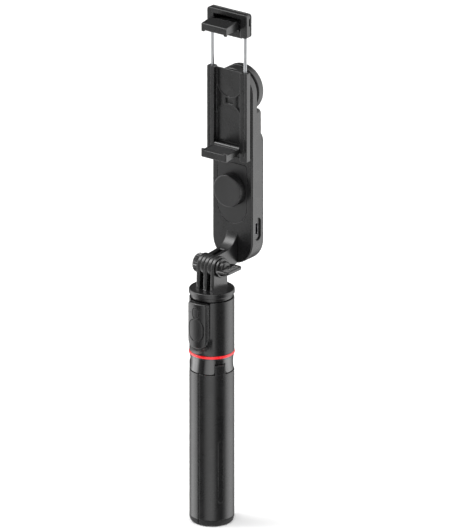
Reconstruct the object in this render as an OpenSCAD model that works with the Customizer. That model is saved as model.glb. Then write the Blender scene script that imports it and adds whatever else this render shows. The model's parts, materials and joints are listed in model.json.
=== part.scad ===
// Tripod selfie stick with a detachable remote and a motorised phone clamp.
// Millimetres. +X is the user's right, -Y the side that the phone screen faces, +Z up.
// The origin is on the handle's axis, on the surface that the folded legs stand on.

/* [Handle] */
// Diameter of the handle, which is the three legs folded together
handle_d = 32; // [31.5:0.5:33]
// Height of the folded legs
leg_h = 114.7; // [108:0.1:124]
// Height of the rounded foot edge
foot_round = 4.5; // [3:0.5:4.5]
// Distance from the handle's side in to the flat that it stands on
foot_edge = 2; // [1:0.1:2.4]
// Width of each leg's hinge ear
ear_w = 7.8; // [7:0.1:8]
// Height of the glossy collar
collar_h = 11.8; // [11.4:0.1:13]
// Height of the red ring
ring_h = 2; // [1.5:0.1:2.5]

/* [Pole] */
// Diameter of the widest tube
tube_d = 19; // [18.8:0.1:19]
// Difference in radius between one tube and the next
tube_step = 1.2; // [1.1:0.05:1.25]
// Wall of a tube
tube_wall = 0.5; // [0.3:0.05:0.5]

/* [Head] */
// Height of the head housing
head_h = 40; // [39:0.5:46]
// Width of the remote
remote_w = 16.4; // [15.6:0.1:17]
// Height of the remote
remote_h = 33.8; // [33:0.1:34.4]
// Distance from the handle's axis to the remote's front face
remote_front_y = 19.6; // [19:0.1:20.4]
// Diameter of the turning cap
cap_d = 32.6; // [32:0.1:33.4]
// Height of the turning cap's rim
cap_h = 3.7; // [3.2:0.1:4.5]

/* [Hinge] */
// Height of the tilt axis above the turning cap
hinge_rise = 16.4; // [15.5:0.1:18]
// Radius of the hinge eyes
eye_r = 8; // [7:0.1:8]
// Thickness of each hinge finger
finger_t = 3; // [2.8:0.1:3]
// Diameter of the hinge bolt
bolt_d = 5; // [4:0.1:5]

/* [Arm] */
// Width of the arm
arm_w = 35; // [34:0.5:36]
// Thickness of the arm
arm_t = 14; // [13.6:0.1:15]
// Distance from the handle's axis to the arm's front face
arm_y = 24.1; // [23.8:0.1:25]
// Distance between the centres of the arm's two round ends
arm_span = 111.4; // [110:0.1:118]
// Wall of the arm's shell
arm_wall = 2; // [1.6:0.1:2]
// Radius of the round push button
button_r = 11.9; // [10:0.1:11.9]

/* [Phone clamp] */
// Length of the clamp's frame
frame_h = 67; // [66:0.5:70]
// Distance from the handle's axis to the frame's front face
frame_y = 17.6; // [17.6:0.05:17.8]
// Depth of the frame
frame_t = 4.5; // [4.3:0.1:4.6]
// Width of the two folding jaws
jaw_w = 22; // [20:0.1:22.2]
// Reach of the jaws in front of the frame
jaw_reach = 15.5; // [14:0.1:17]
// Length of rod that shows when the clamp is fully open
rod_show = 26; // [26:0.1:28]
// Diameter of the two rods
rod_d = 2.35; // [2.1:0.05:2.4]

/* [Hidden] */
$fn = 96;

// Gap between parts that only pass each other, and the gap of a running fit
gap = 0.3;
fit = 0.05;
// How far a cutting shape runs past the face it cuts
cut = 1;

// Heights, from the foot upwards
leg_angles = [-30, 90, 210];
handle_r = handle_d / 2;
collar_z = leg_h + 0.5;
ring_z = collar_z + collar_h;
hub_top = ring_z + ring_h;
head_z = hub_top + gap;
head_top = head_z + head_h;
neck_z = head_top + gap;
cap_z = head_top + 2.7;
cap_top = cap_z + cap_h;
hinge_z = cap_top + hinge_rise;
arm_low_z = hinge_z + 12.5;
roll_z = arm_low_z + arm_span;
button_z = hinge_z + 50.7;
frame_z = roll_z - frame_h * 0.725;
frame_top = frame_z + frame_h;
bar_z = frame_top + rod_show;

// Legs
leg_inner_r = 10.4;
leg_seam = 0.4;
leg_skin = 1.8;
liner_t = 1.2;
leg_floor = 3.5;
leg_head = 10.7;
pivot_r = 13.2;
pivot_z = leg_h + 4.7;
ear_r = 2.9;
pin_r = 1;
pin_reach = 5.3;
slot_w = ear_w + 2 * gap;
slot_top = pivot_z + ear_r + 0.5;
hub_r = 14.8;
hub_bore_r = tube_d / 2 + fit;

// Tubes: the outermost is number 1 and the innermost is number 4
tube_base = 8;
lip_z = leg_h + 7.3;
bush_h = 13;
function tube_r(n) = tube_d / 2 - tube_step * (n - 1);
function tube_top(n) = n == 4 ? head_z + 12 : ring_z + 0.8 * (n - 1);

// Head and remote
head_wall = 2;
boss_r = 8;
lid_t = 3;
lid_screw_r = 12;
lid_screw_angles = [90, -25, 205];
remote_z = head_top - 0.4 - remote_h;
remote_back_y = 11.6;
remote_split_y = 15.4;
remote_wall = 1;
shutter_z = remote_z + 13.9;
mode_z = remote_z + 26.7;
led_x = -4.7;
neck_r = 15;
pan_r = 3;

// Hinge fingers of the cap, and the arm's fingers that fit between them
finger_pitch = 6.2;
bore_r = bolt_d / 2 + fit;
knob_x = 1.5 * finger_t + finger_pitch - finger_t + 0.3;
nut_t = 4.7;

// Arm
arm_r = arm_w / 2;
arm_round = 1.2;
arm_back_y = arm_y + arm_t;
thin_back_y = arm_y + 6.6;
waist_back_y = arm_y + 10.6;
cover_t = 1.5;
cover_y = arm_back_y - cover_t;
lower_top_z = roll_z - 29;
lower_corner_r = 8;
waist_top_z = roll_z - 12.4;
pod_gap = 1.5;
pod_y = thin_back_y + pod_gap;
port_z = hinge_z + 22;
port_y = arm_y + 7;
panel_r = 12.7;
panel_t = 0.8;
panel_low_z = hinge_z + 37.9;
panel_top_z = hinge_z + 70.4;
button_y = frame_y - 0.1;
button_stem_r = 6;
shaft_r = 2.5;
motor_r = 8;
bearing_r = 5;
board_y = arm_y + 4.1;
board_t = 1.2;

// Clamp
channel_w = 22.6;
rail_back_y = frame_y + frame_t;
floor_y = rail_back_y - 1.7;
floor_top = frame_top - 1.2;
rod_x = 14.4;
rod_y = frame_y + 2.5;
rod_low = frame_z + rod_show + 3;
pocket_r = 10.5;
upper_pocket_z = roll_z + 7.4;
lower_pocket_z = roll_z - 19.6;
knuckle_r = 2;
knuckle_y = frame_y + 1.3;
jaw_pin_r = 0.7;
pin_half = 12.6;
jaw_z = frame_z + 8.6;
bar_h = 17.6;
bar_split_y = frame_y + 4.4;
bar_back_y = arm_y - gap;
hook_z = bar_z + 6.2;
jaw_y = frame_y - jaw_reach;
pad_t = 0.8;

// ---- helpers ----

// A 2-D shape in X and Z, extruded from one Y to another
module extrude_y(y0, y1) {
    translate([0, y1, 0]) rotate([90, 0, 0]) linear_extrude(y1 - y0) children();
}

// A 2-D shape in Y and Z, extruded from one X to another
module extrude_x(x0, x1) {
    translate([x0, 0, 0]) rotate([90, 0, 90]) linear_extrude(x1 - x0) children();
}

module rod_along_y(r, y0, y1, x, z) {
    translate([x, y0, z]) rotate([-90, 0, 0]) cylinder(r = r, h = y1 - y0);
}

module rod_along_x(r, x0, x1, y, z) {
    translate([x0, y, z]) rotate([0, 90, 0]) cylinder(r = r, h = x1 - x0);
}

module pipe(r_out, r_in, z0, z1) {
    translate([0, 0, z0]) difference() {
        cylinder(r = r_out, h = z1 - z0);
        translate([0, 0, -cut]) cylinder(r = r_in, h = z1 - z0 + 2 * cut);
    }
}

module box(x0, x1, y0, y1, z0, z1) {
    translate([x0, y0, z0]) cube([x1 - x0, y1 - y0, z1 - z0]);
}

// Rectangle between two corners, with rounded corners
module round_rect(x0, x1, z0, z1, r) {
    translate([x0 + r, z0]) square([x1 - x0 - 2 * r, z1 - z0]);
    translate([x0, z0 + r]) square([x1 - x0, z1 - z0 - 2 * r]);
    for (x = [x0 + r, x1 - r], z = [z0 + r, z1 - r]) translate([x, z]) circle(r);
}

// Two semicircles of radius r about two heights, joined by a straight band
module obround(r, z0, z1) {
    translate([0, z0]) circle(r);
    if (z1 > z0) {
        translate([0, z1]) circle(r);
        translate([-r, z0]) square([2 * r, z1 - z0]);
    }
}

// Half of a plate's section, in radius and Y, with a rounded front and back edge
module soft_profile(r, y0, y1, front, back) {
    translate([0, y0]) square([r - max(front, back), y1 - y0]);
    translate([0, y0 + front]) square([r, y1 - y0 - front - back]);
    if (front > 0) translate([r - front, y0 + front]) circle(front, $fn = 48);
    if (back > 0) translate([r - back, y1 - back]) circle(back, $fn = 48);
}

// An obround plate between two heights, with rounded edges; round where they are equal
module soft_plate(r, z0, z1, y0, y1, front, back) {
    for (z = z1 > z0 ? [z0, z1] : [z0]) translate([0, 0, z]) rotate([-90, 0, 0])
        rotate_extrude() soft_profile(r, y0, y1, front, back);
    if (z1 > z0) translate([0, 0, z0]) linear_extrude(z1 - z0) {
        soft_profile(r, y0, y1, front, back);
        mirror([1, 0]) soft_profile(r, y0, y1, front, back);
    }
}

// Screw along -Z, its head's top at the origin
module small_screw(length) {
    translate([0, 0, -1.2]) difference() {
        cylinder(r = 1.6, h = 1.2);
        for (a = [0, 90]) rotate(a) translate([-1, -0.2, 0.6]) cube([2, 0.4, 1]);
    }
    translate([0, 0, -length]) cylinder(r = 0.9, h = length - 1);
}

// ---- legs and hub ----

// Third of the plan, pulled in by inset from its two flat sides
module leg_wedge(inset) {
    reach = 2 * handle_r;
    translate([inset / sin(60), 0])
        polygon([[0, 0], [reach * cos(60), reach * sin(60)], [reach * 1.5, 0],
            [reach * cos(60), -reach * sin(60)]]);
}

module leg_sector(r_out, r_in, z0, z1, inset) {
    translate([0, 0, z0]) linear_extrude(z1 - z0) intersection() {
        difference() {
            circle(r_out);
            circle(r_in);
        }
        leg_wedge(inset);
    }
}

module leg_outer() {
    intersection() {
        rotate_extrude() {
            translate([leg_inner_r, foot_round])
                square([handle_r - leg_inner_r, leg_h - foot_round]);
            translate([leg_inner_r, 0])
                square([handle_r - foot_edge - leg_inner_r, foot_round + cut]);
            intersection() {
                translate([handle_r - foot_edge, foot_round]) scale([foot_edge, foot_round])
                    circle(1);
                translate([leg_inner_r, 0]) square([handle_r, foot_round]);
            }
        }
        linear_extrude(leg_h) leg_wedge(leg_seam / 2);
    }
}

// Hinge ear on the leg's top, its outer face flush with the leg
module leg_ear() {
    intersection() {
        union() {
            box(pivot_r - ear_r, handle_r, -ear_w / 2, ear_w / 2, leg_h - cut, pivot_z);
            rod_along_y(ear_r, -ear_w / 2, ear_w / 2, pivot_r, pivot_z);
        }
        cylinder(r = handle_r - 0.1, h = leg_h * 2);
    }
}

module leg_shell(angle) {
    side_wall = leg_seam / 2 + 1.2;
    color("#1b1b1d") rotate(angle) difference() {
        union() {
            intersection() {
                leg_outer();
                translate([0, 0, foot_round]) cylinder(r = handle_d, h = leg_h);
            }
            leg_ear();
        }
        leg_sector(handle_r - leg_skin, 0, foot_round + leg_floor, leg_h - leg_head, side_wall);
        leg_sector(13.8, 12.2, foot_round - cut, foot_round + leg_floor, 5);
        rod_along_y(pin_r + fit, -ear_w, ear_w, pivot_r, pivot_z);
        extrude_x(handle_r - 0.5, handle_r + cut) obround(1.65, 19.35, 62.75);
    }
}

module leg_liner(angle) {
    side_wall = leg_seam / 2 + 1.2;
    color("#232325") rotate(angle) leg_sector(leg_inner_r + liner_t, leg_inner_r,
        foot_round + leg_floor, leg_h - leg_head, side_wall);
}

module leg_foot(angle) {
    color("#111111") rotate(angle) {
        intersection() {
            leg_outer();
            cylinder(r = handle_d, h = foot_round);
        }
        leg_sector(13.8, 12.2, foot_round, foot_round + leg_floor, 5);
    }
}

module leg_hub() {
    color("#151516") difference() {
        union() {
            pipe(hub_r, hub_bore_r, collar_z, ring_z);
            pipe(12, hub_bore_r, ring_z, hub_top);
            pipe(leg_inner_r - 0.2, hub_bore_r, collar_z - 2.2, collar_z);
        }
        for (a = leg_angles) rotate(a) {
            box(pivot_r - ear_r - 0.1, handle_r, -slot_w / 2, slot_w / 2, collar_z - cut, slot_top);
            rod_along_y(pin_r, -pin_reach, pin_reach, pivot_r, pivot_z);
        }
    }
}

// Window for an ear, its lower corners flared so that the tabs between have round corners
module ear_window() {
    flare = 2;
    half = slot_w / 2;
    wide = half + 0.8 * flare;
    translate([-half, collar_z - cut]) square([2 * half, slot_top - collar_z + cut]);
    difference() {
        translate([-wide, collar_z - cut]) square([2 * wide, flare + cut]);
        for (x = [-half - flare, half + flare]) translate([x, collar_z + flare]) circle(flare);
    }
}

module collar_cover() {
    waist_r = handle_r - 0.5;
    color("#0d0d0e") difference() {
        union() {
            pipe(waist_r, hub_r, collar_z, ring_z);
            pipe(handle_r - 0.1, hub_r, ring_z - 1, ring_z);
        }
        for (a = leg_angles) rotate(a) {
            extrude_x(hub_r - 4, handle_r + cut) ear_window();
            rod_along_y(pin_r, -pin_reach, pin_reach, pivot_r, pivot_z);
        }
    }
}

module accent_ring() {
    ring_r = handle_r + 0.3;
    color("#e8141c") rotate_extrude() {
        translate([12, ring_z]) square([ring_r - 12.6, ring_h]);
        translate([12, ring_z + 0.6]) square([ring_r - 12, ring_h - 1.2]);
        for (z = [ring_z + 0.6, hub_top - 0.6]) translate([ring_r - 0.6, z]) circle(0.6, $fn = 32);
    }
}

module leg_pins() {
    color("#b8babd") for (a = leg_angles) rotate(a) rod_along_y(pin_r, -pin_reach, pin_reach, pivot_r, pivot_z);
}

// ---- telescopic pole ----

module pole_tube(n) {
    r = tube_r(n);
    bottom = n == 1 ? tube_base : tube_base + gap;
    color("#a9abae") {
        pipe(r, r - tube_wall, bottom, tube_top(n));
        if (n < 4) pipe(r - tube_wall, tube_r(n + 1) + fit, lip_z, tube_top(n));
    }
}

// Bush on an inner tube's foot, which slides in the next tube and stops at its lip
module tube_bush(n) {
    color("#d8d6cf") pipe(tube_r(n - 1) - tube_wall - fit, tube_r(n), tube_base + gap,
        tube_base + gap + bush_h);
}

module pole_end_plug() {
    flange_h = 4.3;
    color("#1a1a1a") difference() {
        union() {
            translate([0, 0, tube_base - 2]) cylinder(r = leg_inner_r - 0.45, h = 2);
            pipe(leg_inner_r - 0.45, tube_r(1), tube_base, tube_base + flange_h);
        }
        translate([0, 0, tube_base - 3]) cylinder(r = 3, h = 4);
    }
}

// ---- head and remote ----

module remote_outline(grow) {
    half = remote_w / 2 + grow;
    low = remote_z - grow;
    high = remote_z + remote_h + grow;
    big = 6 + grow;
    small = 2 + grow;
    translate([-half, low + big]) square([2 * half, high - low - big - small]);
    translate([big - half, low]) square([2 * (half - big), big + cut]);
    translate([small - half, high - small - cut]) square([2 * (half - small), small + cut]);
    for (x = [-1, 1]) {
        translate([x * (half - big), low + big]) circle(big);
        translate([x * (half - small), high - small]) circle(small);
    }
}

// Opening for the remote, open at the top so that nothing shows above it
module remote_pocket() {
    clear = 0.2;
    extrude_y(-remote_front_y - cut, -remote_back_y + clear) remote_outline(clear);
    box(-remote_w / 2 - clear, remote_w / 2 + clear, -remote_front_y - cut,
        -remote_back_y + clear, head_top - 5, head_top + cut);
}

// Lip under the remote that runs out into the round housing
module remote_fairing() {
    hull() {
        extrude_y(-remote_front_y + 1.8, -remote_front_y + 2)
            translate([0, remote_z + 4]) circle(6.4, $fn = 32);
        extrude_y(-12.6, -12.4) translate([0, remote_z + 5.6]) circle(10, $fn = 32);
    }
}

module head_housing() {
    inner_r = handle_r - head_wall;
    pocket_wall = 1.5;
    screw_low = head_top - lid_t - 9;
    color("#1b1b1d") difference() {
        union() {
            pipe(handle_r, inner_r, head_z, head_top);
            pipe(inner_r + 0.5, tube_r(4), head_z, head_z + 3);
            pipe(boss_r, tube_r(4), head_z + 3, head_z + 15);
            intersection() {
                box(-remote_w / 2 - pocket_wall, remote_w / 2 + pocket_wall, -handle_r,
                    pocket_wall - remote_back_y + 0.2, head_z, head_top);
                translate([0, 0, head_z]) cylinder(r = handle_r - 0.5, h = head_h);
            }
            remote_fairing();
            for (a = lid_screw_angles) rotate(a) translate([lid_screw_r, 0, screw_low - 2])
                cylinder(r = 2.3, h = head_top - lid_t - screw_low + 2);
        }
        remote_pocket();
        for (a = lid_screw_angles) rotate(a) translate([lid_screw_r, 0, screw_low])
            cylinder(r = 0.9, h = lid_t + 10);
    }
}

module head_lid() {
    lid_z = head_top - lid_t;
    color("#202022") difference() {
        intersection() {
            translate([0, 0, lid_z]) cylinder(r = handle_r - head_wall, h = lid_t);
            box(-handle_r, handle_r, 1.7 - remote_back_y, handle_r, lid_z, head_top);
        }
        translate([0, 0, lid_z - cut]) cylinder(r = pan_r + fit, h = lid_t + 2 * cut);
        for (a = lid_screw_angles) rotate(a) translate([lid_screw_r, 0, 0]) {
            translate([0, 0, lid_z - cut]) cylinder(r = 1, h = lid_t);
            translate([0, 0, head_top - 1.3]) cylinder(r = 1.75, h = 2);
        }
    }
}

module lid_screws() {
    color("#8d8f92") for (a = lid_screw_angles) rotate(a)
        translate([lid_screw_r, 0, head_top - 0.1]) small_screw(10);
}

module shutter_outline(grow) {
    translate([0, shutter_z]) obround(6 + grow, -2.25, 2.25);
}

module mode_outline(grow) {
    translate([0, mode_z]) obround(2.5 + grow, -1.1, 1.1);
}

module remote_front() {
    color("#1b1b1d") difference() {
        extrude_y(-remote_front_y, -remote_split_y) remote_outline(0);
        extrude_y(-remote_front_y + 1.2, -remote_split_y + cut) remote_outline(-remote_wall);
        extrude_y(-remote_front_y - cut, -remote_split_y) {
            shutter_outline(0.2);
            mode_outline(0.2);
        }
        rod_along_y(0.45, -remote_front_y - cut, -remote_split_y, led_x, mode_z);
    }
}

module remote_back() {
    color("#161617") difference() {
        extrude_y(-remote_split_y, -remote_back_y) remote_outline(0);
        extrude_y(-remote_split_y - cut, -remote_back_y - 1) remote_outline(-remote_wall);
    }
}

module remote_board() {
    color("#15492a") {
        extrude_y(-16.4, -15.6) remote_outline(-remote_wall - 0.2);
        for (z = [shutter_z, mode_z]) extrude_y(-17.4, -16.4)
            translate([-1.6, z - 1.6]) square(3.2);
    }
}

module coin_cell() {
    color("#c4c6c8") {
        rod_along_y(6.25, -15.1, -13.5, 0, remote_z + 13);
        rod_along_y(5.4, -15.5, -15.1, 0, remote_z + 13);
    }
}

module status_led() {
    color("#dfe8f2") rod_along_y(0.45, -remote_front_y, -17.9, led_x, mode_z);
}

// Cap of a remote button, with a wider flange inside that keeps it in its hole
module shutter_button() {
    color("#19191b") {
        extrude_y(-remote_front_y - 0.2, -18.1) shutter_outline(0);
        extrude_y(-18.3, -18) shutter_outline(0.3);
    }
}

module mode_button() {
    color("#19191b") {
        extrude_y(-remote_front_y - 0.1, -18.1) mode_outline(0);
        extrude_y(-18.3, -18) mode_outline(0.3);
    }
}

// ---- turning cap and tilt hinge ----

module finger_outline(bore) {
    difference() {
        union() {
            translate([0, hinge_z]) circle(eye_r);
            polygon([[-eye_r, hinge_z], [-eye_r, cap_top + 3.5], [-eye_r - 0.5, cap_top + 1],
                [-eye_r - 1.2, cap_top - 0.5], [eye_r + 1.2, cap_top - 0.5],
                [eye_r + 0.5, cap_top + 1], [eye_r, cap_top + 3.5], [eye_r, hinge_z]]);
        }
        translate([0, hinge_z]) circle(bore);
    }
}

module pan_cap() {
    cap_r = cap_d / 2;
    round_r = 0.9;
    color("#1b1b1d") difference() {
        union() {
            translate([0, 0, neck_z]) cylinder(r = neck_r, h = cap_z - neck_z + 0.5);
            rotate_extrude() {
                translate([0, cap_z]) square([cap_r - round_r, cap_h]);
                translate([0, cap_z + round_r]) square([cap_r, cap_h - 2 * round_r]);
                for (z = [cap_z + round_r, cap_top - round_r])
                    translate([cap_r - round_r, z]) circle(round_r, $fn = 48);
            }
            for (x = [-finger_pitch, 0, finger_pitch])
                extrude_x(x - finger_t / 2, x + finger_t / 2) finger_outline(bore_r);
        }
        translate([0, 0, neck_z - cut]) cylinder(r = pan_r, h = 4.4 + cut);
    }
}

module pan_screw() {
    lid_z = head_top - lid_t;
    color("#8d8f92") difference() {
        union() {
            translate([0, 0, lid_z - 2.6]) cylinder(r = 5, h = 2.5);
            translate([0, 0, lid_z - 0.2]) cylinder(r = pan_r, h = neck_z + 4.4 - lid_z + 0.2);
        }
        translate([0, 0, lid_z - 3]) cylinder(r = 1.6, h = 2, $fn = 6);
    }
}

module hinge_bolt() {
    color("#9a9ca0") rod_along_x(bolt_d / 2, -knob_x - nut_t + 0.6, knob_x + 3, 0, hinge_z);
}

module wing_knob() {
    hub_round = 2;
    knob_h = 5.4;
    color("#19191b") difference() {
        union() {
            translate([knob_x, 0, hinge_z]) rotate([0, 90, 0]) rotate_extrude() {
                square([7 - hub_round, knob_h]);
                square([7, knob_h - hub_round]);
                translate([7 - hub_round, knob_h - hub_round]) circle(hub_round, $fn = 48);
            }
            translate([0, 0, hinge_z - 1.1]) linear_extrude(2.2)
                round_rect(knob_x + 1, knob_x + 12, -9, 10, 3);
        }
        rod_along_x(bolt_d / 2, 0, knob_x + 3, 0, hinge_z);
    }
}

module knurled_nut() {
    color("#232325") translate([-knob_x - nut_t, 0, hinge_z]) rotate([0, 90, 0]) difference() {
        cylinder(r = 7, h = nut_t);
        translate([0, 0, -cut]) cylinder(r = bore_r, h = nut_t + 2 * cut);
    }
}

// ---- arm ----

// Neck that rises from the hinge and sweeps up into the arm's front face
module bracket_outline() {
    sweep_r = 13;
    sweep_y = 11.4;
    difference() {
        union() {
            translate([0, hinge_z]) circle(eye_r);
            polygon([[0, hinge_z - eye_r], [arm_y, hinge_z - 4.6],
                [arm_y, hinge_z + 19.2], [sweep_y, hinge_z + 19.2],
                [sweep_y, hinge_z + 8.9], [0, hinge_z + eye_r]]);
        }
        translate([sweep_y, hinge_z + 8.9 + sweep_r]) circle(sweep_r);
        translate([0, hinge_z]) circle(bore_r);
    }
}

module arm_bracket() {
    half = finger_pitch - finger_t / 2 - 0.1;
    slot = finger_t / 2 + 0.1;
    color("#1b1b1d") difference() {
        extrude_x(-half, half) bracket_outline();
        box(-slot, slot, -eye_r - cut, 12, hinge_z - 15, hinge_z + 15);
    }
}

// Outline of the thick lower part of the arm
module lower_outline(inset) {
    r = arm_r - inset;
    corner = lower_corner_r - inset;
    translate([0, arm_low_z]) circle(r);
    translate([-r, arm_low_z]) square([2 * r, lower_top_z - lower_corner_r - arm_low_z]);
    translate([corner - r, arm_low_z]) square([2 * (r - corner), lower_top_z - inset - arm_low_z]);
    for (x = [corner - r, r - corner]) translate([x, lower_top_z - lower_corner_r]) circle(corner);
}

module panel_outline(grow) {
    r = panel_r + grow;
    translate([0, panel_low_z]) circle(r);
    translate([-r, panel_low_z]) square([2 * r, 5]);
    round_rect(-r, r, panel_low_z + 1, panel_top_z + grow, 3);
}

module cover_screw_places() {
    for (x = [-11.5, 11.5]) {
        translate([x, 0, arm_low_z - 2]) children();
        translate([x, 0, lower_top_z - 10]) children();
    }
}

module arm_front_shell() {
    inner_y = arm_y + arm_wall;
    color("#1b1b1d") difference() {
        union() {
            difference() {
                union() {
                    soft_plate(arm_r, arm_low_z, roll_z, arm_y, thin_back_y, arm_round, arm_round);
                    extrude_y(arm_y + 3, cover_y) lower_outline(0);
                    extrude_y(arm_y + 3, waist_back_y)
                        round_rect(-arm_r, arm_r, lower_top_z - 15, waist_top_z, 3);
                }
                extrude_y(inner_y, cover_y + cut) lower_outline(arm_wall);
                extrude_y(inner_y, waist_back_y - 1.7)
                    round_rect(-arm_r + arm_wall, arm_r - arm_wall, lower_top_z - 17,
                        waist_top_z - 1.5, 2);
                rod_along_y(14, inner_y, thin_back_y + cut, 0, roll_z);
            }
            rod_along_y(bearing_r + 1.2, inner_y - 0.5, inner_y + 2, 0, roll_z);
            cover_screw_places() rod_along_y(2.3, inner_y - 0.5, cover_y, 0, 0);
        }
        rod_along_y(arm_r + gap, thin_back_y, arm_back_y, 0, roll_z);
        rod_along_y(shaft_r + 0.4, arm_y - cut, arm_y + cut, 0, roll_z);
        rod_along_y(bearing_r, arm_y + 0.5, inner_y + 3, 0, roll_z);
        extrude_y(arm_y - cut, arm_y + panel_t) panel_outline(0.25);
        rod_along_y(button_stem_r + 0.2, arm_y - cut, inner_y + cut, 0, button_z);
        cover_screw_places() rod_along_y(0.9, cover_y - 8, cover_y + cut, 0, 0);
        extrude_x(arm_r - 1.2, arm_r + cut) translate([port_y, 0]) obround(3.35, port_z - 5.15,
            port_z + 5.15);
        extrude_x(arm_r - arm_wall - cut, arm_r) translate([port_y, 0]) obround(1.7, port_z - 3,
            port_z + 3);
        for (z = [hinge_z + 2, hinge_z + 12])
            rod_along_y(0.9, arm_y - cut, inner_y + cut, 0, z);
    }
}

module arm_back_cover() {
    color("#1b1b1d") difference() {
        union() {
            extrude_y(cover_y, arm_back_y - 0.6) lower_outline(0);
            extrude_y(cover_y, arm_back_y) lower_outline(0.6);
        }
        cover_screw_places() {
            rod_along_y(1, cover_y - cut, arm_back_y + cut, 0, 0);
            rod_along_y(1.75, arm_back_y - 1.3, arm_back_y + cut, 0, 0);
        }
    }
}

module arm_screws() {
    color("#5c5e61") cover_screw_places()
        translate([0, arm_back_y - 0.1, 0]) rotate([-90, 0, 0]) small_screw(8);
}

module inlay_panel() {
    color("#1f1f21") difference() {
        extrude_y(arm_y, arm_y + panel_t) panel_outline(0);
        rod_along_y(button_stem_r + 0.2, arm_y - cut, arm_y + cut, 0, button_z);
    }
}

module arm_button() {
    round_r = 0.8;
    color("#1f1f21") {
        soft_plate(button_r, button_z, button_z, button_y, arm_y - 1.2, round_r, 0);
        rod_along_y(button_stem_r, arm_y - 1.3, arm_y + 0.9, 0, button_z);
    }
}

module battery() {
    color("#3f6f9a") extrude_y(board_y + board_t + 1, cover_y - 0.8)
        round_rect(-13, 13, button_z - 11, button_z + 23, 1);
}

module control_board() {
    switch_h = 2.1;
    color("#15492a") {
        extrude_y(board_y, board_y + board_t) round_rect(-14, 14, arm_low_z, button_z + 26, 1);
        extrude_y(board_y - switch_h, board_y)
            translate([-3, button_z - 3]) square(6);
    }
}

module usb_port() {
    color("#b4b6b9") difference() {
        extrude_x(arm_r - 8.2, arm_r - 1.4) translate([port_y, 0])
            obround(1.6, port_z - 3, port_z + 3);
        extrude_x(arm_r - 7, arm_r) translate([port_y, 0]) obround(1.3, port_z - 3, port_z + 3);
    }
}

module motor_stator() {
    color("#b06a2c") difference() {
        rod_along_y(motor_r, arm_y + 8.4, arm_back_y - 1.6, 0, roll_z);
        rod_along_y(3.2, arm_y + 8, arm_back_y, 0, roll_z);
    }
}

module roll_bearing() {
    color("#b8babd") difference() {
        rod_along_y(bearing_r, arm_y + 0.5, arm_y + arm_wall + 2, 0, roll_z);
        rod_along_y(shaft_r + fit, arm_y, arm_y + 8, 0, roll_z);
    }
}

// Round motor housing on the arm's back, with a narrow neck that leaves a dark groove
module pod_cover() {
    color("#1b1b1d") difference() {
        union() {
            rod_along_y(arm_r - 1.8, thin_back_y, pod_y + 0.5, 0, roll_z);
            soft_plate(arm_r, roll_z, roll_z, pod_y, arm_back_y, 0.6, 1);
        }
        rod_along_y(13.6, thin_back_y - cut, arm_back_y - 1.6, 0, roll_z);
    }
}

// ---- phone clamp ----

module clamp_frame() {
    rib = 0.8;
    color("#1b1b1d") difference() {
        union() {
            for (side = [-1, 1]) scale([side, 1, 1]) extrude_y(frame_y, rail_back_y)
                round_rect(channel_w / 2, arm_r, frame_z, frame_top, 1.2);
            box(-channel_w / 2 - cut, channel_w / 2 + cut, floor_y, rail_back_y,
                frame_z + 0.2, floor_top);
            rod_along_y(9, rail_back_y - 0.5, arm_y - gap, 0, roll_z);
        }
        extrude_y(floor_y - cut, floor_y + 0.6) {
            translate([0, upper_pocket_z]) circle(pocket_r);
            translate([-pocket_r, upper_pocket_z]) square([2 * pocket_r, frame_h]);
            translate([0, lower_pocket_z]) circle(pocket_r);
            translate([-pocket_r, frame_z + 2]) square([2 * pocket_r,
                lower_pocket_z - frame_z - 2]);
        }
        extrude_y(floor_y - cut, floor_y + 1.2) difference() {
            union() {
                for (x = [-10.6, 5.8]) translate([x, lower_pocket_z]) square([4.8, 27]);
                translate([-3.2, roll_z - 8]) square([6.4, 3.6]);
            }
            for (z = [upper_pocket_z, lower_pocket_z]) translate([0, z]) circle(pocket_r + rib);
        }
        extrude_y(floor_y - cut, floor_y + 0.7)
            translate([-channel_w / 2, jaw_z - 3]) square([channel_w, 6.4]);
        for (x = [-rod_x, rod_x]) translate([x, rod_y, frame_z + 1.6])
            cylinder(r = rod_d / 2 + fit, h = frame_h);
        for (x = [-14.9, 14.9]) box(x - 0.2, x + 0.2, frame_y - cut, frame_y + 0.3,
            frame_z + 4, frame_top + cut);
        rod_along_x(jaw_pin_r, -pin_half, pin_half, knuckle_y, jaw_z);
        rod_along_y(shaft_r, rail_back_y - 1, arm_y, 0, roll_z);
    }
}

module roll_shaft() {
    color("#a9abae") rod_along_y(shaft_r, rail_back_y - 1, arm_back_y - 3, 0, roll_z);
}

module motor_rotor() {
    color("#8d8f92") difference() {
        rod_along_y(motor_r, arm_y + arm_wall + 2.4, arm_y + 8, 0, roll_z);
        rod_along_y(shaft_r, arm_y, arm_back_y, 0, roll_z);
    }
}

module jaw_pin() {
    color("#b8babd") rod_along_x(jaw_pin_r, -pin_half, pin_half, knuckle_y, jaw_z);
}

module hook_pin() {
    color("#b8babd") rod_along_x(jaw_pin_r, -pin_half, pin_half, knuckle_y, hook_z);
}

module clamp_rods() {
    color("#b4b6b9") for (x = [-rod_x, rod_x]) translate([x, rod_y, rod_low])
        cylinder(r = rod_d / 2, h = bar_z + 8 - rod_low);
}

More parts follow.
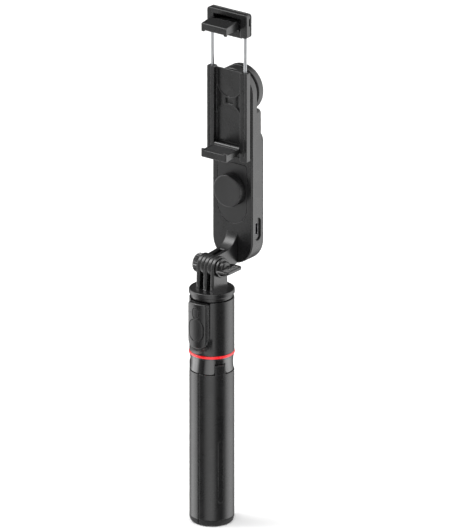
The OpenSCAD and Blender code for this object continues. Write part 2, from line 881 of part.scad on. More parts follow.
module crossbar() {
    mid = channel_w / 2 + 0.3;
    color("#1b1b1d") difference() {
        union() {
            extrude_y(frame_y, bar_split_y) round_rect(-arm_r, arm_r, bar_z, bar_z + bar_h, 2);
            box(-mid, mid, frame_y, bar_split_y, bar_z - 1.4, bar_z + 2);
        }
        box(-mid, mid, frame_y - cut, knuckle_y + knuckle_r + 0.2, hook_z - knuckle_r - 0.4,
            bar_z + bar_h - 4);
        box(-mid, mid, frame_y - cut, frame_y + 2, bar_z - 2, hook_z);
        box(-arm_r - cut, arm_r + cut, bar_split_y - 1.2, bar_split_y + cut,
            bar_z + 9, bar_z + bar_h - 3.5);
        for (x = [-rod_x, rod_x]) translate([x, rod_y, bar_z - 2])
            cylinder(r = rod_d / 2, h = 10);
        rod_along_x(jaw_pin_r, -pin_half, pin_half, knuckle_y, hook_z);
    }
}

module crossbar_back() {
    color("#202022") extrude_y(bar_split_y, bar_back_y)
        round_rect(-arm_r, arm_r, bar_z, bar_z + bar_h, 2);
}

// Side profile of a jaw that reaches forward from its knuckle; up is the phone's side
module jaw_profile(thick_front, thick_back) {
    translate([knuckle_y, 0]) circle(knuckle_r);
    polygon([[jaw_y, 0.4], [jaw_y, 0.4 - thick_front], [jaw_y + 1, -thick_front],
        [knuckle_y - knuckle_r - 1.2, -thick_back], [knuckle_y, -knuckle_r],
        [knuckle_y, 0.4]]);
}

module lower_jaw() {
    half = jaw_w / 2;
    color("#1b1b1d") difference() {
        union() {
            translate([0, 0, jaw_z]) extrude_x(-half, half) jaw_profile(5.2, 3.4);
            for (x = [-half, half - 2.6]) box(x, x + 2.6, jaw_y, jaw_y + 1.8, jaw_z - 2,
                jaw_z + 1.4);
        }
        box(-half + 1.2, half - 1.2, jaw_y + 1.8, knuckle_y - knuckle_r - 0.6,
            jaw_z + 0.4 - pad_t, jaw_z + 2);
        rod_along_x(jaw_pin_r + fit, -half - cut, half + cut, knuckle_y, jaw_z);
    }
}

module lower_pad() {
    half = jaw_w / 2 - 1.2;
    color("#0f0f0f") box(-half, half, jaw_y + 1.8, knuckle_y - knuckle_r - 0.6,
        jaw_z + 0.4 - pad_t, jaw_z + 0.3);
}

module upper_hook() {
    half = jaw_w / 2;
    color("#1b1b1d") difference() {
        union() {
            translate([0, 0, hook_z]) mirror([0, 0, 1]) extrude_x(-half, half)
                jaw_profile(5, 6.4);
            for (x = [-half, half - 2.6]) box(x, x + 2.6, jaw_y, jaw_y + 1.8, hook_z - 1.4,
                hook_z + 2);
        }
        box(-half + 1.2, half - 1.2, jaw_y + 1.8, knuckle_y - knuckle_r - 0.6,
            hook_z - 2, hook_z - 0.4 + pad_t);
        box(-half + 2, half - 2, jaw_y + 11, knuckle_y - knuckle_r - 0.2, hook_z + 2.2,
            hook_z + 9);
        rod_along_x(jaw_pin_r + fit, -half - cut, half + cut, knuckle_y, hook_z);
    }
}

module upper_pad() {
    half = jaw_w / 2 - 1.2;
    color("#0f0f0f") box(-half, half, jaw_y + 1.8, knuckle_y - knuckle_r - 0.6,
        hook_z - 0.3, hook_z - 0.4 + pad_t);
}

leg_hub();
collar_cover();
accent_ring();
leg_pins();
leg_shell(leg_angles[0]);  // leg_shell_1
leg_liner(leg_angles[0]);  // leg_liner_1
leg_foot(leg_angles[0]);  // leg_foot_1
leg_shell(leg_angles[1]);  // leg_shell_2
leg_liner(leg_angles[1]);  // leg_liner_2
leg_foot(leg_angles[1]);  // leg_foot_2
leg_shell(leg_angles[2]);  // leg_shell_3
leg_liner(leg_angles[2]);  // leg_liner_3
leg_foot(leg_angles[2]);  // leg_foot_3
pole_tube(1);  // pole_tube_1
pole_end_plug();
pole_tube(2);  // pole_tube_2
tube_bush(2);  // tube_bush_2
pole_tube(3);  // pole_tube_3
tube_bush(3);  // tube_bush_3
pole_tube(4);  // pole_tube_4
tube_bush(4);  // tube_bush_4
head_housing();
head_lid();
lid_screws();
remote_front();
remote_back();
remote_board();
coin_cell();
status_led();
shutter_button();
mode_button();
pan_cap();
pan_screw();
hinge_bolt();
wing_knob();
knurled_nut();
arm_bracket();
arm_front_shell();
arm_back_cover();
arm_screws();
inlay_panel();
battery();
control_board();
usb_port();
motor_stator();
roll_bearing();
pod_cover();
arm_button();
clamp_frame();
roll_shaft();
motor_rotor();
jaw_pin();
clamp_rods();
crossbar();
crossbar_back();
hook_pin();
upper_hook();
upper_pad();
lower_jaw();
lower_pad();
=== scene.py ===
"""Looks of the tripod selfie stick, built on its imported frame. Lengths are in metres."""
import json
import math

import bmesh
import bpy
from mathutils import Matrix, Vector


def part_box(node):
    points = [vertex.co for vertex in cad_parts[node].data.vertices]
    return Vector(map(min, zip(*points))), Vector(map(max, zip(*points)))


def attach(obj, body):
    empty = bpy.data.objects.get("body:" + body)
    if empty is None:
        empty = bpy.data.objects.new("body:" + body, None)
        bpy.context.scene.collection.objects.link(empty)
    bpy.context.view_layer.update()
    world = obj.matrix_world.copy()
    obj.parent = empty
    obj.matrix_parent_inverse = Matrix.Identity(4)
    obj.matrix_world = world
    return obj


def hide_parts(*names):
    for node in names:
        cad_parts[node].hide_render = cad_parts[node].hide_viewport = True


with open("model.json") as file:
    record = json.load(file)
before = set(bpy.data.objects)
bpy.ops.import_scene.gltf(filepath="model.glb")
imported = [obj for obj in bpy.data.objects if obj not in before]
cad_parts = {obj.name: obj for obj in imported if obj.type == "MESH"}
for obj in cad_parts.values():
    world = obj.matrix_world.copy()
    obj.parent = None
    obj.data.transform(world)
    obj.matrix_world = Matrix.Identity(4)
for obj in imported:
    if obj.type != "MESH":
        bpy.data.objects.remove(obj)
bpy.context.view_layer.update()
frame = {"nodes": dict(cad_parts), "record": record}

MM = 0.001
scene = bpy.context.scene


# ---- node helpers ----

class Shader:
    """A material's node tree with a few short ways to add and join nodes."""

    def __init__(self, name):
        self.material = bpy.data.materials.new(name)
        self.material.use_nodes = True
        self.tree = self.material.node_tree
        self.surface = self.tree.nodes["Principled BSDF"]
        self.place = self.add("ShaderNodeTexCoord").outputs["Object"]

    def add(self, kind, **settings):
        node = self.tree.nodes.new(kind)
        for key, value in settings.items():
            setattr(node, key, value)
        return node

    def join(self, source, target):
        self.tree.links.new(source, target)

    def stretched(self, scale):
        """The object's own coordinates, in metres, scaled on each axis."""
        node = self.add("ShaderNodeMapping")
        self.join(self.place, node.inputs["Vector"])
        node.inputs["Scale"].default_value = scale
        return node.outputs["Vector"]

    def noise(self, size, detail=3.0, stretch=(1, 1, 1)):
        """Noise whose features are about size metres across."""
        node = self.add("ShaderNodeTexNoise")
        self.join(self.stretched(stretch), node.inputs["Vector"])
        node.inputs["Scale"].default_value = 1 / size
        node.inputs["Detail"].default_value = detail
        return node.outputs["Fac"]

    def remap(self, source, low, high, to_low=0.0, to_high=1.0):
        node = self.add("ShaderNodeMapRange")
        self.join(source, node.inputs["Value"])
        for key, value in (("From Min", low), ("From Max", high), ("To Min", to_low), ("To Max", to_high)):
            node.inputs[key].default_value = value
        return node.outputs["Result"]

    def math(self, operation, first, second):
        node = self.add("ShaderNodeMath", operation=operation)
        for socket, value in zip(node.inputs, (first, second)):
            if isinstance(value, (int, float)):
                socket.default_value = value
            else:
                self.join(value, socket)
        return node.outputs[0]

    def blend(self, factor, low, high):
        """A colour between low and high, each a colour or a socket."""
        node = self.add("ShaderNodeMix", data_type="RGBA")
        self.join(factor, node.inputs["Factor"])
        for socket, value in ((node.inputs[6], low), (node.inputs[7], high)):
            if isinstance(value, tuple):
                socket.default_value = (*value, 1)
            else:
                self.join(value, socket)
        return node.outputs[2]

    def edges(self, radius):
        """1 on edges sharper than radius and 0 on flat ground."""
        bevel = self.add("ShaderNodeBevel", samples=6)
        bevel.inputs["Radius"].default_value = radius
        flat = self.add("ShaderNodeNewGeometry").outputs["Normal"]
        turn = self.add("ShaderNodeVectorMath", operation="DOT_PRODUCT")
        self.join(bevel.outputs["Normal"], turn.inputs[0])
        self.join(flat, turn.inputs[1])
        return self.remap(turn.outputs["Value"], 0.995, 0.86)

    def bump(self, height, distance, strength=1.0, under=None):
        node = self.add("ShaderNodeBump")
        node.inputs["Distance"].default_value = distance
        node.inputs["Strength"].default_value = strength
        self.join(height, node.inputs["Height"])
        if under is not None:
            self.join(under, node.inputs["Normal"])
        return node.outputs["Normal"]

    def finish(self, color=None, roughness=None, normal=None, **sockets):
        for key, value in (("Base Color", color), ("Roughness", roughness), ("Normal", normal)):
            if value is not None:
                self.join(value, self.surface.inputs[key])
        for key, value in sockets.items():
            self.surface.inputs[key.replace("_", " ")].default_value = value
        return self.material


def moulded_plastic(name, dark, light, rough, grain, edge_lightening=0.5, specular=0.5, ior=1.5):
    """Moulded plastic: a fine spark-eroded grain, faint flow marks, and edges lightened both as rubbed wear
    and as painted highlights.
    """
    s = Shader(name)
    flow = s.noise(0.018, 2, (1, 1, 0.35))
    speck = s.noise(0.00035, 2)
    # Edge mask: convex edges are lightened, partly as rubbed wear and partly as painted highlights
    edge = s.math("MULTIPLY", s.edges(0.0006), s.remap(s.noise(0.0015, 4), 0.35, 0.7))
    body = s.blend(s.remap(flow, 0.35, 0.65), dark, light)
    # Lightened edge colour: part rubbed wear, part a painted highlight along the edges
    worn_and_highlight_color = tuple(min(1.0, 2.6 * c + 0.035) for c in light)
    color = s.blend(s.math("MULTIPLY", edge, edge_lightening), body, worn_and_highlight_color)
    smudge = s.remap(s.noise(0.009, 5), 0.3, 0.7, rough - 0.03, rough + 0.05)
    roughness = s.math("ADD", smudge, s.remap(speck, 0.3, 0.7, -0.02, 0.02))
    wave = s.bump(flow, 0.00012, 0.25)
    return s.finish(color, roughness, s.bump(speck, 0.00004, grain, wave),
                    Specular_IOR_Level=specular, IOR=ior)


def metal(name, color, rough, stretch, edge_lightening=0.3):
    """Drawn or ground metal, its fine lines running along one axis."""
    s = Shader(name)
    lines = s.noise(0.0006, 4, stretch)
    haze = s.noise(0.006, 3)
    shade = tuple(0.78 * c for c in color)
    base = s.blend(s.remap(s.math("ADD", s.math("MULTIPLY", lines, 0.5), s.math("MULTIPLY", haze, 0.5)),
                           0.35, 0.65), shade, color)
    bright = s.blend(s.math("MULTIPLY", s.edges(0.0004), edge_lightening), base, (0.85, 0.85, 0.86))
    return s.finish(bright, s.remap(lines, 0.3, 0.7, rough - 0.06, rough + 0.08),
                    s.bump(lines, 0.00002, 0.4), Metallic=1.0)


def cool_grey(value):
    return (value, value, value * 1.04)


def rubber(name):
    s = Shader(name)
    grain = s.noise(0.0005, 4)
    dust = s.remap(s.noise(0.006, 5), 0.55, 0.8, 0, 0.35)
    color = s.blend(dust, cool_grey(0.012), cool_grey(0.035))
    return s.finish(color, s.remap(grain, 0.3, 0.7, 0.62, 0.8), s.bump(grain, 0.00006, 0.6),
                    Specular_IOR_Level=0.35)


def circuit_board(name):
    """Green solder mask with copper runs under it."""
    s = Shader(name)
    runs = s.add("ShaderNodeTexVoronoi", feature="DISTANCE_TO_EDGE", distance="MANHATTAN")
    s.join(s.stretched((1, 0.2, 1)), runs.inputs["Vector"])
    runs.inputs["Scale"].default_value = 420
    line = s.remap(runs.outputs["Distance"], 0.05, 0.09)
    color = s.blend(line, (0.05, 0.24, 0.10), (0.015, 0.11, 0.045))
    return s.finish(color, s.remap(line, 0, 1, 0.3, 0.42), s.bump(line, 0.00004, 0.5))


def wound_copper(name):
    s = Shader(name)
    wave = s.add("ShaderNodeTexWave", bands_direction="Y")
    s.join(s.place, wave.inputs["Vector"])
    wave.inputs["Scale"].default_value = 900
    wave.inputs["Distortion"].default_value = 1.5
    color = s.blend(wave.outputs["Fac"], (0.20, 0.07, 0.03), (0.72, 0.34, 0.16))
    return s.finish(color, s.remap(wave.outputs["Fac"], 0, 1, 0.5, 0.28),
                    s.bump(wave.outputs["Fac"], 0.0001, 0.8), Metallic=0.9)


def shrink_wrap(name):
    s = Shader(name)
    crease = s.noise(0.004, 5, (1, 1, 0.4))
    color = s.blend(s.remap(crease, 0.35, 0.65), (0.07, 0.18, 0.33), (0.12, 0.28, 0.46))
    return s.finish(color, s.remap(crease, 0.3, 0.7, 0.28, 0.45), s.bump(crease, 0.0002, 0.6))


def clear_lens(name):
    s = Shader(name)
    haze = s.noise(0.0004, 3)
    color = s.blend(haze, (0.05, 0.05, 0.055), (0.11, 0.11, 0.12))
    return s.finish(color, s.remap(haze, 0.3, 0.7, 0.1, 0.22), s.bump(haze, 0.00002, 0.3),
                    Transmission_Weight=0.4, IOR=1.49)


# The moulded plastics: darkest and lightest colour, roughness, grain, edge lightening (rubbed wear and
# painted edge highlights), specular level, IOR
MATERIALS = {
    "satin_black": moulded_plastic("satin_black", (0.005, 0.005, 0.0052), (0.008, 0.008, 0.0083),
                                   0.27, 0.05, 0.8, 0.6),
    "soft_black": moulded_plastic("soft_black", (0.008, 0.008, 0.0083), (0.012, 0.012, 0.0124),
                                  0.38, 0.10, 0.6, 0.5),
    "gloss_black": moulded_plastic("gloss_black", (0.002, 0.002, 0.0022), (0.004, 0.004, 0.0042),
                                   0.09, 0.01, 0.2, 0.5, 1.9),
    "red_plastic": moulded_plastic("red_plastic", (0.80, 0.006, 0.010), (0.95, 0.012, 0.020),
                                   0.22, 0.04, 0.05, 0.6),
    "bush_plastic": moulded_plastic("bush_plastic", (0.55, 0.53, 0.48), (0.66, 0.64, 0.59), 0.4, 0.15, 0.1),
    "black_rubber": rubber("black_rubber"),
    "steel": metal("steel", (0.26, 0.26, 0.27), 0.38, (1, 1, 1), 0.05),
    "rod_steel": metal("rod_steel", (0.50, 0.51, 0.52), 0.34, (1, 1, 0.03)),
    "tube_steel": metal("tube_steel", (0.55, 0.56, 0.58), 0.20, (1, 1, 0.02)),
    "circuit_board": circuit_board("circuit_board"),
    "battery_wrap": shrink_wrap("battery_wrap"),
    "motor_copper": wound_copper("motor_copper"),
    "led_lens": clear_lens("led_lens"),
}
SLOT_OF = {part["node"]: part["material_slot"] for part in frame["record"]["subparts"]}
BODY_OF = {node: body for body, nodes in frame["record"]["behaviour"]["bodies"].items()
           for node in nodes}
HINGE_Z = sum(corner.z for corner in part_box("hinge_bolt")) / 2


# ---- mesh helpers ----

# An edge that turns by less than this is part of a curve, and is left alone
SHARPEST_SMOOTH = math.radians(30)
# Faces that meet at less than this are shaded as one surface
SHADE_ANGLE = math.radians(32)

def finished(bm, name, node):
    """A mesh object that stands for a CAD node and rides with its body."""
    mesh = bpy.data.meshes.new(name)
    bmesh.ops.recalc_face_normals(bm, faces=bm.faces)
    bm.to_mesh(mesh)
    bm.free()
    piece = bpy.data.objects.new(name, mesh)
    scene.collection.objects.link(piece)
    mesh.materials.append(MATERIALS[SLOT_OF[node]])
    mesh.shade_smooth()
    mesh.set_sharp_from_angle(angle=SHADE_ANGLE)
    even = piece.modifiers.new("even_normals", "WEIGHTED_NORMAL")
    even.keep_sharp = True
    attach(piece, BODY_OF[node])
    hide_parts(node)


def skin(bm, loops):
    """Join closed loops of vertices one after another, and close both ends."""
    count = len(loops[0])
    for one, two in zip(loops, loops[1:]):
        for k in range(count):
            n = (k + 1) % count
            bm.faces.new((one[k], one[n], two[n], two[k]))
    bm.faces.new(loops[0])
    bm.faces.new(loops[-1])


def welded(node):
    """A CAD node's mesh with its split corners joined and its flat faces whole."""
    bm = bmesh.new()
    bm.from_mesh(frame["nodes"][node].data)
    bmesh.ops.remove_doubles(bm, verts=bm.verts, dist=0.002 * MM)
    bmesh.ops.dissolve_limit(bm, angle_limit=math.radians(0.4), verts=bm.verts, edges=bm.edges)
    return bm


def round_edges(bm, width, chosen, segments=3):
    """Round the sharp edges, to width millimetres, where chosen(middle, direction, edge) holds."""
    picked = []
    for edge in bm.edges:
        if len(edge.link_faces) != 2 or edge.calc_face_angle(0) < SHARPEST_SMOOTH:
            continue
        one, two = edge.verts[0].co, edge.verts[1].co
        if chosen((one + two) / (2 * MM), (two - one).normalized(), edge):
            picked.append(edge)
    if picked:
        bmesh.ops.bevel(bm, geom=picked, offset=width * MM, offset_type="OFFSET", segments=segments,
                        profile=0.5, affect="EDGES", clamp_overlap=False, miter_outer="SHARP")
        bmesh.ops.remove_doubles(bm, verts=bm.verts, dist=0.003 * MM)


def rounded(node, *stages):
    """The CAD node again, with its sharp edges rounded in stages of (width, where)."""
    bm = welded(node)
    for width, chosen in stages:
        round_edges(bm, width, chosen)
    finished(bm, node + "_finished", node)


for name, node_object in frame["nodes"].items():
    node_object.data.materials.clear()
    node_object.data.materials.append(MATERIALS[SLOT_OF[name]])


# ---- where edges are rounded ----
# Each test is given an edge's middle in millimetres, its direction and the edge

def any_convex(middle, way, edge):
    return edge.is_convex


def both(*tests):
    return lambda middle, way, edge: all(test(middle, way, edge) for test in tests)


def inside(low, high):
    """Convex edges whose middle lies in a box in millimetres, with None for an open side."""
    def test(middle, way, edge):
        return edge.is_convex and all(
            (a is None or c >= a) and (b is None or c <= b) for a, c, b in zip(low, middle, high))
    return test


def radius_of(point):
    """Distance from the handle's axis."""
    return math.hypot(point.x, point.y)


LEG_ANGLES = (-30, 90, 210)
GROOVE_LOW, GROOVE_HIGH = 17.4, 64.7


def in_groove(angle):
    """Rim of the long shallow groove on a leg."""
    side = Vector((-math.sin(math.radians(angle)), math.cos(math.radians(angle)), 0))
    return lambda middle, way, edge: (edge.is_convex and GROOVE_LOW < middle.z < GROOVE_HIGH
                                      and abs(middle.dot(side)) < 1.9 and radius_of(middle) > 15.2)


def out_of_groove(angle):
    rim = in_groove(angle)
    return lambda middle, way, edge: edge.is_convex and not rim(middle, way, edge)


# ---- legs, collar and head ----

for n, angle in enumerate(LEG_ANGLES, 1):
    rounded(f"leg_shell_{n}", (0.35, out_of_groove(angle)), (0.45, in_groove(angle)))
    rounded(f"leg_foot_{n}", (0.35, inside((None, None, 0.5), (None, None, None))))


def slices(bm, axis, places):
    """Cut the mesh by planes square to an axis, so that flat faces can be bent."""
    normal = [0, 0, 0]
    normal[axis] = 1
    for place in places:
        point = [0, 0, 0]
        point[axis] = place * MM
        bmesh.ops.bisect_plane(bm, geom=bm.verts[:] + bm.edges[:] + bm.faces[:], plane_co=point,
                               plane_no=normal, dist=0.0005 * MM)


def waisted_collar():
    """Glossy collar: its sleeve draws in at the waist and flares to the ring."""
    low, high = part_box("collar_cover")
    bm = welded("collar_cover")
    base, height = low.z / MM, (high.z - low.z) / MM
    slices(bm, 2, [base + height * k / 14 for k in range(1, 14)])
    narrow, foot, lip, waist = 15.1, 15.5, 15.9, 0.42
    for vert in bm.verts:
        r = radius_of(vert.co) / MM
        if r < 15.2:
            continue
        t = (vert.co.z / MM - base) / height
        if t < waist:
            wanted = narrow + (foot - narrow) * ((waist - t) / waist) ** 2
        else:
            wanted = narrow + (lip - narrow) * ((t - waist) / (1 - waist)) ** 2
        vert.co.x *= wanted / r
        vert.co.y *= wanted / r
    round_edges(bm, 0.12, both(any_convex, lambda m, way, e: radius_of(m) > 14.9 and m.z < base + 11))
    finished(bm, "collar_cover_finished", "collar_cover")


waisted_collar()
rounded("head_housing", (0.35, inside((None, None, 169.2), (None, None, None))),
        (0.3, inside((-9, None, 130), (9, -11, 169.2))))


# ---- remote ----

FACE_Y = -19.6
FACE_R = 17.0


def bend_face(bm):
    """Bend the flat front of a remote's piece back towards its sides, about an upright axis."""
    slices(bm, 0, [k * 0.75 for k in range(-10, 11)])
    for vert in bm.verts:
        x, y = vert.co.x / MM, vert.co.y / MM
        depth = min(1.0, max(0.0, (-16.6 - y) / 2))
        vert.co.y += depth * (FACE_R - math.sqrt(FACE_R ** 2 - x * x)) * MM


def remote_piece(node, *stages):
    bm = welded(node)
    for width, chosen in stages:
        round_edges(bm, width, chosen, segments=4)
    bend_face(bm)
    finished(bm, node + "_finished", node)


def on_outline(middle, way, edge):
    """Outer front edge of the remote, not the rims of its holes."""
    low, high = (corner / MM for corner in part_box("remote_front"))
    beyond = max(abs(middle.x) - high.x + 1.2, middle.z - high.z + 1.2, low.z + 2.4 - middle.z)
    # The two round lower corners lie outside an oval round the shutter button's lower end
    low_corner = middle.z < 142 and math.hypot(middle.x / 1.35, (middle.z - 141.1)) > 5.2
    return edge.is_convex and abs(middle.y - FACE_Y) < 0.02 and (beyond > 0 or low_corner)


def on_hole(middle, way, edge):
    return edge.is_convex and abs(middle.y - FACE_Y) < 0.02 and not on_outline(middle, way, edge)


remote_piece("remote_front", (1.1, on_outline), (0.5, on_hole))
remote_piece("shutter_button", (0.7, inside((None, None, None), (None, -19.5, None))))
remote_piece("mode_button", (0.6, inside((None, None, None), (None, -19.5, None))))
remote_piece("status_led")
rounded("remote_back", (0.3, any_convex))


# ---- hinge, arm and clamp ----

rounded("pan_cap", (0.65, inside((None, None, 180), (None, None, None))),
        (0.35, inside((None, None, None), (None, None, 180))))
rounded("arm_bracket", (0.65, any_convex))
rounded("arm_front_shell", (0.25, any_convex))
rounded("arm_back_cover", (0.4, any_convex))
rounded("inlay_panel", (0.12, any_convex))
rounded("pod_cover", (0.3, any_convex))
rounded("clamp_frame", (0.35, any_convex))
rounded("crossbar", (0.6, any_convex))
rounded("crossbar_back", (0.6, any_convex))
rounded("upper_hook", (0.5, any_convex))
rounded("lower_jaw", (0.4, any_convex))


# ---- wing knob ----

def turned(bm, node, profile, segments=64):
    """Add a solid turned about the node's long axis X, from (place along X, radius) points in millimetres."""
    low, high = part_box(node)
    loops = []
    for along, radius in profile:
        loops.append([bm.verts.new((low.x + along * MM, radius * MM * math.cos(2 * math.pi * k / segments),
                                    HINGE_Z + radius * MM * math.sin(2 * math.pi * k / segments)))
                      for k in range(segments)])
    skin(bm, loops)


def rib(bm, low, high):
    """Add a box whose sides lean in by a third of its width."""
    loops = []
    for z, lean in ((low.z, 0), (high.z, (high.y - low.y) / 3)):
        x0, x1, y0, y1 = low.x + lean, high.x - lean, low.y + lean, high.y - lean
        loops.append([bm.verts.new((x, y, z)) for x, y in ((x0, y0), (x1, y0), (x1, y1), (x0, y1))])
    skin(bm, loops)


def wing_knob():
    """Thumb knob: a flange, a waist, a dome, and a ribbed blade through the middle."""
    low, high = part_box("wing_knob")
    bm = bmesh.new()
    turned(bm, "wing_knob", [(0, 6.6), (0.3, 7), (1.5, 7), (1.8, 6.7), (1.9, 5.7), (2.1, 5.5), (3.9, 5.4),
                             (4.6, 5.0), (5.1, 4.2), (5.35, 3.0), (5.4, 1.0)])
    # The blade is a flat round-cornered plate, square to Z, a little thinner at its rim
    near, half, corner, steps = low.x + 1 * MM, 1.1 * MM, 3 * MM, 8
    outline = []
    for x, y, start in ((high.x - corner, high.y - corner, 0), (near + corner, high.y - corner, 90),
                        (near + corner, low.y + corner, 180), (high.x - corner, low.y + corner, 270)):
        for k in range(steps + 1):
            a = math.radians(start + 90 * k / steps)
            outline.append((x + corner * math.cos(a), y + corner * math.sin(a)))
    centre = Vector(((near + high.x) / 2, (low.y + high.y) / 2))
    loops = []
    for level, shrink in ((-1, 0.35), (-0.68, 0), (0.5, 0), (0.82, 0.35)):
        loop = []
        for x, y in outline:
            out = (Vector((x, y)) - centre).normalized() * shrink * MM
            loop.append(bm.verts.new((x - out.x, y - out.y, HINGE_Z + level * half)))
        loops.append(loop)
    skin(bm, loops)
    # Ribs for the thumb on the blade's upper side
    count, rib_half = 8, 0.35 * MM
    pitch = (high.y - low.y - 2 * corner) / count
    for k in range(count + 1):
        y = low.y + corner + pitch * k
        rib(bm, Vector((low.x + 6 * MM, y - rib_half, HINGE_Z + 0.8 * half)),
            Vector((high.x - 1 * MM, y + rib_half, HINGE_Z + half)))
    finished(bm, "wing_knob_finished", "wing_knob")


wing_knob()


# ---- knurled nut ----

def knurled_nut():
    """Round nut with a ring of straight ridges, chamfered at both ends and dished outside."""
    low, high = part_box("knurled_nut")
    middle = (low + high) / 2
    outer = (high.z - low.z) / 2
    ridges = 24
    per_ridge = 6
    count = ridges * per_ridge
    depth = 0.75 * MM
    # Each ring is (place along X from the outer end, radius taken off, ridge depth used)
    length = high.x - low.x
    rings = [(0.9 * MM, 2.9 * MM, 0), (0.9 * MM, 2.3 * MM, 0), (0, 1.7 * MM, 0), (0, 0.9 * MM, 0),
             (0.3 * MM, 0.35 * MM, 0.5), (0.7 * MM, 0, 1), (length - 0.7 * MM, 0, 1),
             (length - 0.3 * MM, 0.35 * MM, 0.5), (length, 0.9 * MM, 0), (length, 2.9 * MM, 0)]
    bm = bmesh.new()
    loops = []
    for along, less, use in rings:
        loop = []
        for k in range(count):
            angle = 2 * math.pi * k / count
            phase = (k % per_ridge) / per_ridge
            dip = depth * use * (0.5 - 0.5 * math.cos(2 * math.pi * phase)) ** 0.7
            r = outer - less - dip
            loop.append(bm.verts.new((low.x + along, middle.y + r * math.cos(angle),
                                      middle.z + r * math.sin(angle))))
        loops.append(loop)
    skin(bm, loops)
    finished(bm, "knurled_nut_finished", "knurled_nut")


knurled_nut()


# ---- rubber pads ----

def ribbed_pad(node, up):
    """Jaw pad with rounded ribs across it; up is 1 where the ribs face +Z and -1 where they face -Z."""
    low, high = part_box(node)
    base = low.z if up > 0 else high.z
    tall = (high.z - low.z) * up
    ribs = 8
    steps = ribs * 8
    bm = bmesh.new()
    rows = []
    for k in range(steps + 1):
        t = k / steps
        y = low.y + (high.y - low.y) * t
        rise = 0.55 + 0.45 * abs(math.sin(math.pi * ribs * t)) ** 0.6
        z = base + tall * rise
        rows.append([bm.verts.new((low.x, y, base)), bm.verts.new((low.x, y, z - 0.1 * MM * up)),
                     bm.verts.new((low.x + 0.15 * MM, y, z)), bm.verts.new((high.x - 0.15 * MM, y, z)),
                     bm.verts.new((high.x, y, z - 0.1 * MM * up)), bm.verts.new((high.x, y, base))])
    skin(bm, rows)
    finished(bm, node + "_finished", node)


ribbed_pad("lower_pad", 1)
ribbed_pad("upper_pad", -1)


# ---- floor, light and camera ----

# The camera stands in front and to the right, a little above, with a long lens
CAMERA_AZIMUTH = math.radians(36.7)
CAMERA_RISE = math.radians(20.5)
CAMERA_DISTANCE = 14
VIEW_HEIGHT = 0.3778
# Where it looks, from the foot of the handle, across and up the picture
AIM_RIGHT = 9.3 * MM
AIM_UP = 179.6 * MM
# The sensor's width in millimetres, which sets the lens that shows VIEW_HEIGHT
SENSOR = 36


def camera_axes():
    a, e = CAMERA_AZIMUTH, CAMERA_RISE
    right = Vector((math.cos(a), math.sin(a), 0))
    up = Vector((-math.sin(a) * math.sin(e), math.cos(a) * math.sin(e), math.cos(e)))
    back = Vector((math.sin(a) * math.cos(e), -math.cos(a) * math.cos(e), math.sin(e)))
    return right, up, back


def make_camera():
    right, up, back = camera_axes()
    data = bpy.data.cameras.new("camera")
    data.sensor_width = SENSOR
    data.lens = SENSOR * CAMERA_DISTANCE / VIEW_HEIGHT
    data.clip_end = 60
    camera = bpy.data.objects.new("camera", data)
    aim = right * AIM_RIGHT + up * AIM_UP
    camera.location = aim + back * CAMERA_DISTANCE
    camera.rotation_mode = "QUATERNION"
    camera.rotation_quaternion = Matrix((right, up, back)).transposed().to_quaternion()
    scene.collection.objects.link(camera)
    scene.camera = camera


def make_floor():
    mesh = bpy.data.meshes.new("floor")
    bm = bmesh.new()
    bmesh.ops.create_circle(bm, cap_ends=True, segments=96, radius=6)
    bm.to_mesh(mesh)
    bm.free()
    floor = bpy.data.objects.new("floor", mesh)
    floor.location = (0, 0, -0.0002)
    scene.collection.objects.link(floor)
    s = Shader("floor_paper")
    tone = s.noise(0.4, 2)
    color = s.blend(tone, (0.93, 0.93, 0.93), (0.95, 0.95, 0.95))
    mesh.materials.append(s.finish(color, s.remap(tone, 0, 1, 0.85, 0.95), Specular_IOR_Level=0.0))
    # The studio's soft strips show in the gloss of the upright sides, and the paper doesn't
    floor.visible_glossy = False


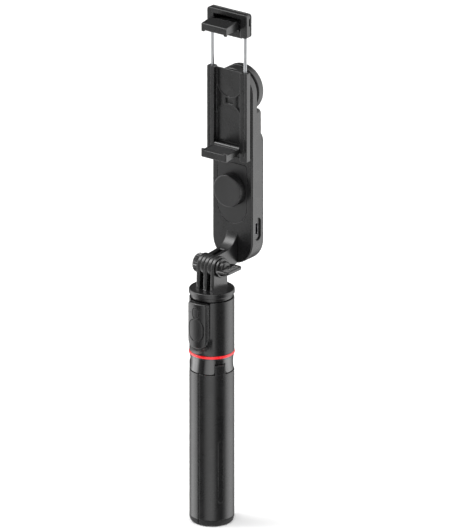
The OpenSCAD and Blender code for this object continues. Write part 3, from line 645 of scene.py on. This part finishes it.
def studio_world():
    """Soft vertical strips of light round the object, dark between them."""
    world = bpy.data.worlds.new("studio")
    scene.world = world
    world.use_nodes = True
    tree = world.node_tree
    way = tree.nodes.new("ShaderNodeTexCoord").outputs["Generated"]
    split = tree.nodes.new("ShaderNodeSeparateXYZ")
    tree.links.new(way, split.inputs[0])
    turn = tree.nodes.new("ShaderNodeMath")
    turn.operation = "ARCTAN2"
    tree.links.new(split.outputs["Y"], turn.inputs[0])
    tree.links.new(split.outputs["X"], turn.inputs[1])
    # Angle from the side that the object is seen from, -180 to 180, positive to the right
    front = math.degrees(CAMERA_AZIMUTH) - 90
    shift = tree.nodes.new("ShaderNodeMath")
    shift.operation = "SUBTRACT"
    tree.links.new(turn.outputs[0], shift.inputs[0])
    shift.inputs[1].default_value = math.radians(front)
    wrap = tree.nodes.new("ShaderNodeMath")
    wrap.operation = "WRAP"
    tree.links.new(shift.outputs[0], wrap.inputs[0])
    wrap.inputs[1].default_value = math.pi
    wrap.inputs[2].default_value = -math.pi
    scale = tree.nodes.new("ShaderNodeMapRange")
    tree.links.new(wrap.outputs[0], scale.inputs["Value"])
    scale.inputs["From Min"].default_value = -math.pi
    scale.inputs["From Max"].default_value = math.pi
    ramp = tree.nodes.new("ShaderNodeValToRGB")
    tree.links.new(scale.outputs[0], ramp.inputs[0])
    # Each stop is an angle and the brightness there
    stops = [(-180, 0.12), (-158, 0.15), (-136, 1.0), (-118, 2.8), (-90, 2.8), (-72, 0.3), (-46, 0.1),
             (-30, 1.2), (-8, 1.7), (8, 1.5), (24, 0.1), (64, 0.12), (84, 2.3), (106, 2.6),
             (128, 1.4), (148, 0.4), (180, 0.12)]
    elements = ramp.color_ramp.elements
    brightest = max(level for _, level in stops)
    for k, (angle, level) in enumerate(stops):
        place = (angle + 180) / 360
        element = elements[k] if k < 2 else elements.new(place)
        element.position = place
        value = level / brightest
        element.color = (value, value, value, 1)
    background = tree.nodes["Background"]
    background.inputs["Strength"].default_value = brightest
    tree.links.new(ramp.outputs[0], background.inputs["Color"])


def soft_light(name, where, size, power):
    data = bpy.data.lights.new(name, "AREA")
    data.shape = "RECTANGLE"
    data.size, data.size_y = size
    data.energy = power
    light = bpy.data.objects.new(name, data)
    light.location = where
    target = Vector((0, 0, 0.19))
    light.rotation_mode = "QUATERNION"
    light.rotation_quaternion = (Vector(where) - target).to_track_quat("Z", "Y")
    scene.collection.objects.link(light)


make_camera()
make_floor()
studio_world()
soft_light("top_light", (0.1, -0.3, 2.2), (1.6, 1.6), 14)
soft_light("left_light", (-1.25, -0.8, 1.9), (1.1, 1.1), 16)
scene.view_settings.view_transform = "Standard"
